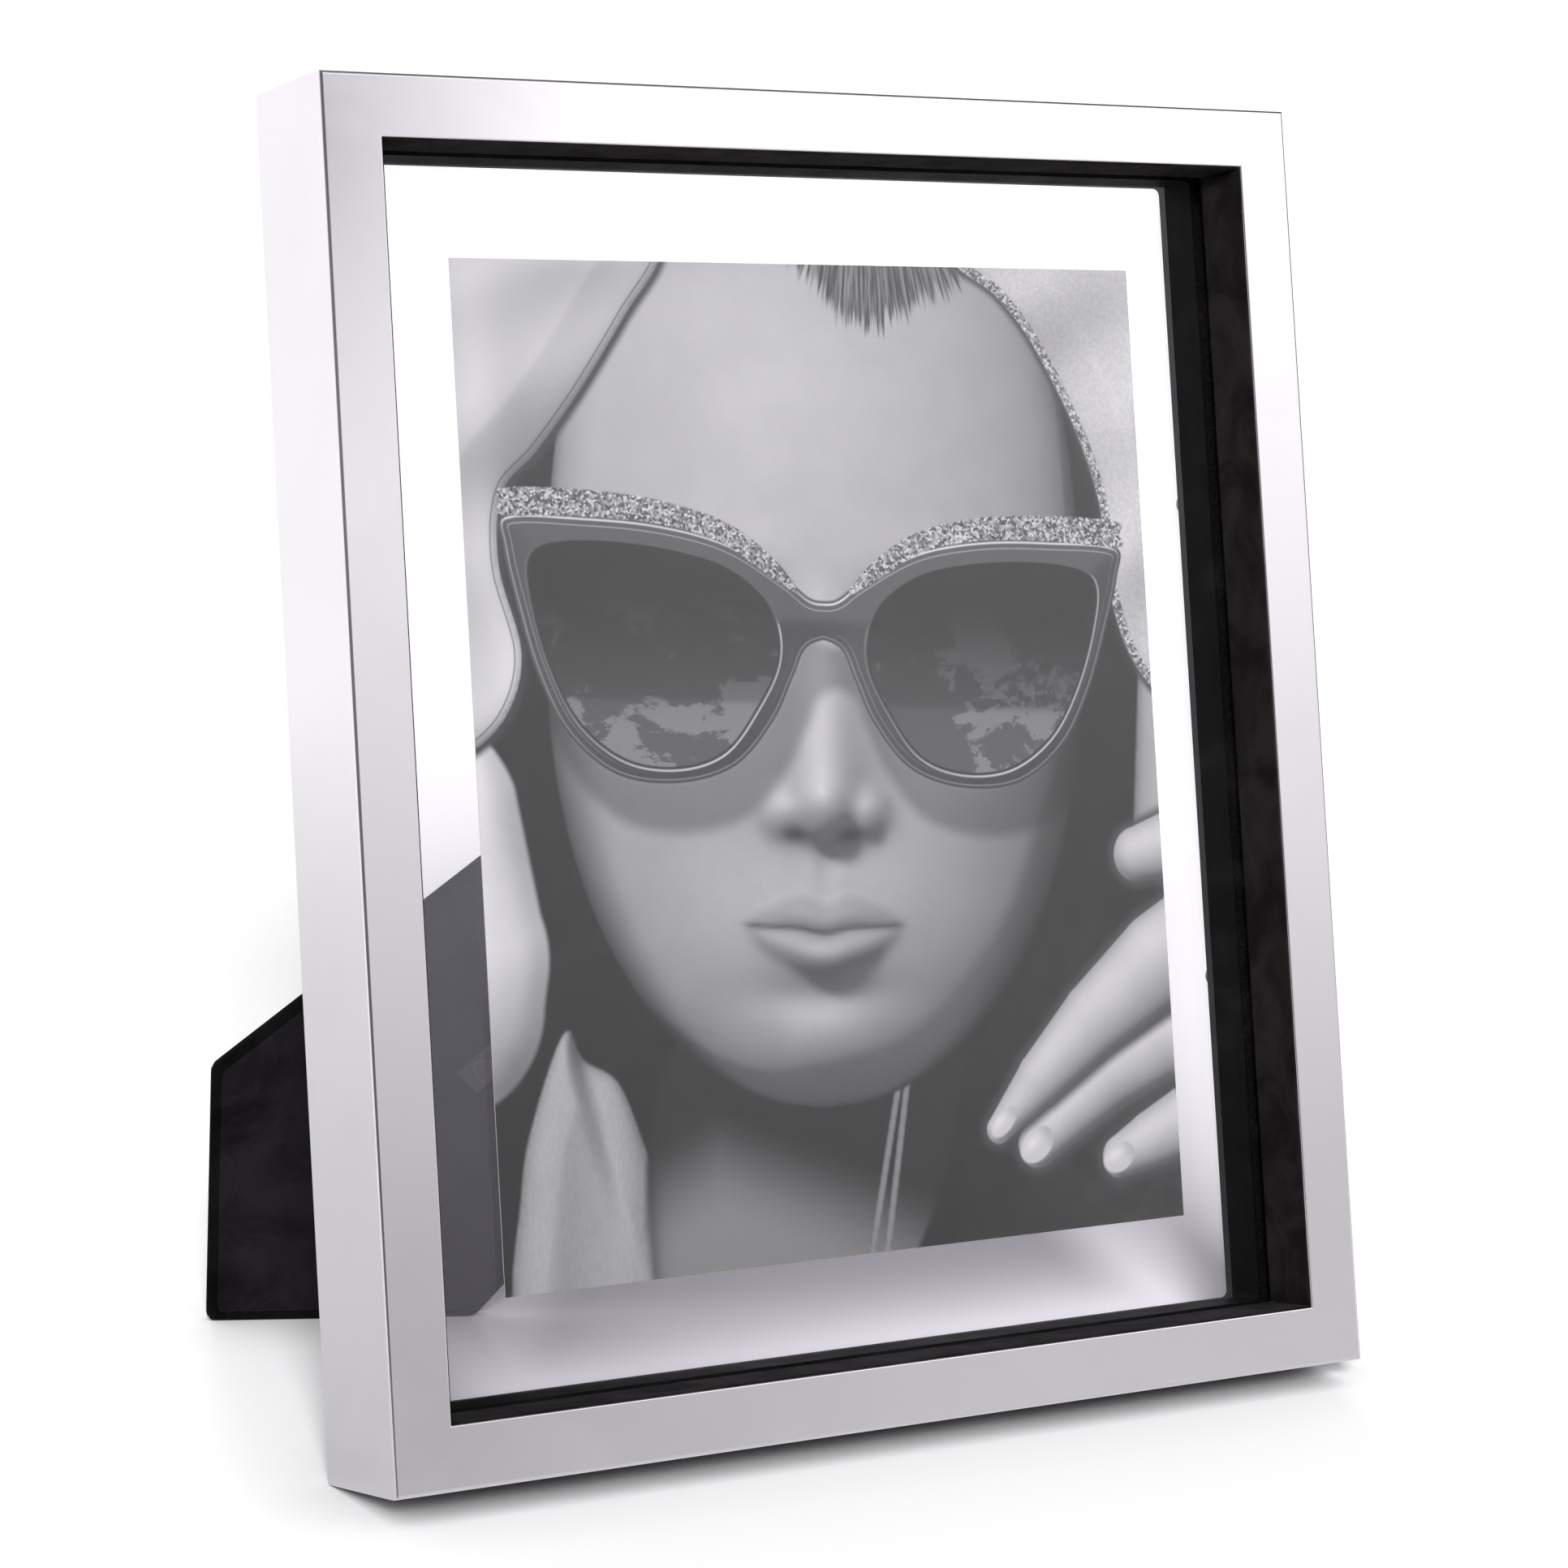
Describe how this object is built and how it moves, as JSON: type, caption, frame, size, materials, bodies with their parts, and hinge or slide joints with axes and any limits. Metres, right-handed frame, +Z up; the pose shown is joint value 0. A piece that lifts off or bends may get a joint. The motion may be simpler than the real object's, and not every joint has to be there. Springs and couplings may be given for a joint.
{
  "type": "floating picture frame",
  "caption": "Table picture frame with polished metal rails, a print floating between sheets of glass, and a corner easel leg that props it upright or sideways.",
  "frame": {"origin": "on the table, under the middle of the standing frame's bounding box", "axes": "+Z up, +X to the right as seen from the front, +Y to the back; the frame stands leant back on its lower back edge and its open leg"},
  "size_m": [0.286, 0.1759, 0.3375],
  "materials": {
    "nickel_plate": "polished nickel plate",
    "fibreboard": "raw fibreboard",
    "velvet_lining": "short black velvet",
    "velvet_cover": "short black velvet",
    "velvet_panel": "charcoal velvet",
    "nail_steel": "plain",
    "clear_glass": "clear float glass",
    "print_paper": "satin photographic print, black and white",
    "foam": "matt",
    "adhesive_foam": "matt",
    "black_fillet": "satin black",
    "backing_paper": "matt black",
    "button_steel": "black lacquer",
    "screw_steel": "zinc plate",
    "hinge_steel": "satin nickel",
    "ribbon": "black grosgrain",
    "dark_rivet": "blackened"
  },
  "bodies": {
    "frame": {"clad_top": "nickel_plate", "clad_bottom": "nickel_plate", "clad_left": "nickel_plate", "clad_right": "nickel_plate", "core_top": "fibreboard", "core_bottom": "fibreboard", "core_left": "fibreboard", "core_right": "fibreboard", "lining_top": "velvet_lining", "lining_bottom": "velvet_lining", "lining_left": "velvet_lining", "lining_right": "velvet_lining", "corner_nails": "nail_steel", "front_glass": "clear_glass", "print": "print_paper", "rear_glass": "clear_glass", "glazing_foam": "foam", "rear_fillet": "black_fillet", "back_ring": "backing_paper", "turn_button_screws": "screw_steel", "pedestal_pads": "adhesive_foam", "pedestal": "fibreboard", "pedestal_cover": "velvet_cover", "hinge_fixed_leaf": "hinge_steel", "hinge_fixed_screws": "screw_steel", "hinge_pin": "hinge_steel", "stay_ribbon": "ribbon", "ribbon_anchor": "dark_rivet"},
    "leg": {"hinge_leg_leaf": "hinge_steel", "hinge_leg_rivets": "screw_steel", "leg_board": "fibreboard", "leg_cover": "velvet_cover", "leg_lining": "velvet_panel", "ribbon_rivet": "dark_rivet"},
    "button_top_left": {"turn_button_top_left": "button_steel"},
    "button_top_right": {"turn_button_top_right": "button_steel"},
    "button_bottom_left": {"turn_button_bottom_left": "button_steel"},
    "button_bottom_right": {"turn_button_bottom_right": "button_steel"},
    "button_left_upper": {"turn_button_left_upper": "button_steel"},
    "button_left_lower": {"turn_button_left_lower": "button_steel"},
    "button_right_upper": {"turn_button_right_upper": "button_steel"},
    "button_right_lower": {"turn_button_right_lower": "button_steel"}
  },
  "joints": [
    {"name": "leg_hinge", "type": "hinge", "parent": "frame", "child": "leg", "pos_m": [0.06323, -0.00964, 0.2019], "axis": [0.7071, -0.1394, -0.6932], "range_deg": [-27.3, 0], "deforming": ["stay_ribbon"]},
    {"name": "button_top_left_turn", "type": "hinge", "parent": "frame", "child": "button_top_left", "pos_m": [-0.045, 0.0135, 0.32196], "axis": [0, 0.9804, -0.1971], "range_deg": [-90, 90]},
    {"name": "button_top_right_turn", "type": "hinge", "parent": "frame", "child": "button_top_right", "pos_m": [0.045, 0.0135, 0.32196], "axis": [0, 0.9804, -0.1971], "range_deg": [-90, 90]},
    {"name": "button_bottom_left_turn", "type": "hinge", "parent": "frame", "child": "button_bottom_left", "pos_m": [-0.045, -0.04957, 0.00824], "axis": [0, 0.9804, -0.1971], "range_deg": [-90, 90]},
    {"name": "button_bottom_right_turn", "type": "hinge", "parent": "frame", "child": "button_bottom_right", "pos_m": [0.045, -0.04957, 0.00824], "axis": [0, 0.9804, -0.1971], "range_deg": [-90, 90]},
    {"name": "button_left_upper_turn", "type": "hinge", "parent": "frame", "child": "button_left_upper", "pos_m": [-0.1345, -0.00522, 0.22882], "axis": [0, 0.9804, -0.1971], "range_deg": [-90, 90]},
    {"name": "button_left_lower_turn", "type": "hinge", "parent": "frame", "child": "button_left_lower", "pos_m": [-0.1345, -0.03084, 0.10137], "axis": [0, 0.9804, -0.1971], "range_deg": [-90, 90]},
    {"name": "button_right_upper_turn", "type": "hinge", "parent": "frame", "child": "button_right_upper", "pos_m": [0.1345, -0.00522, 0.22882], "axis": [0, 0.9804, -0.1971], "range_deg": [-90, 90]},
    {"name": "button_right_lower_turn", "type": "hinge", "parent": "frame", "child": "button_right_lower", "pos_m": [0.1345, -0.03084, 0.10137], "axis": [0, 0.9804, -0.1971], "range_deg": [-90, 90]}
  ]
}
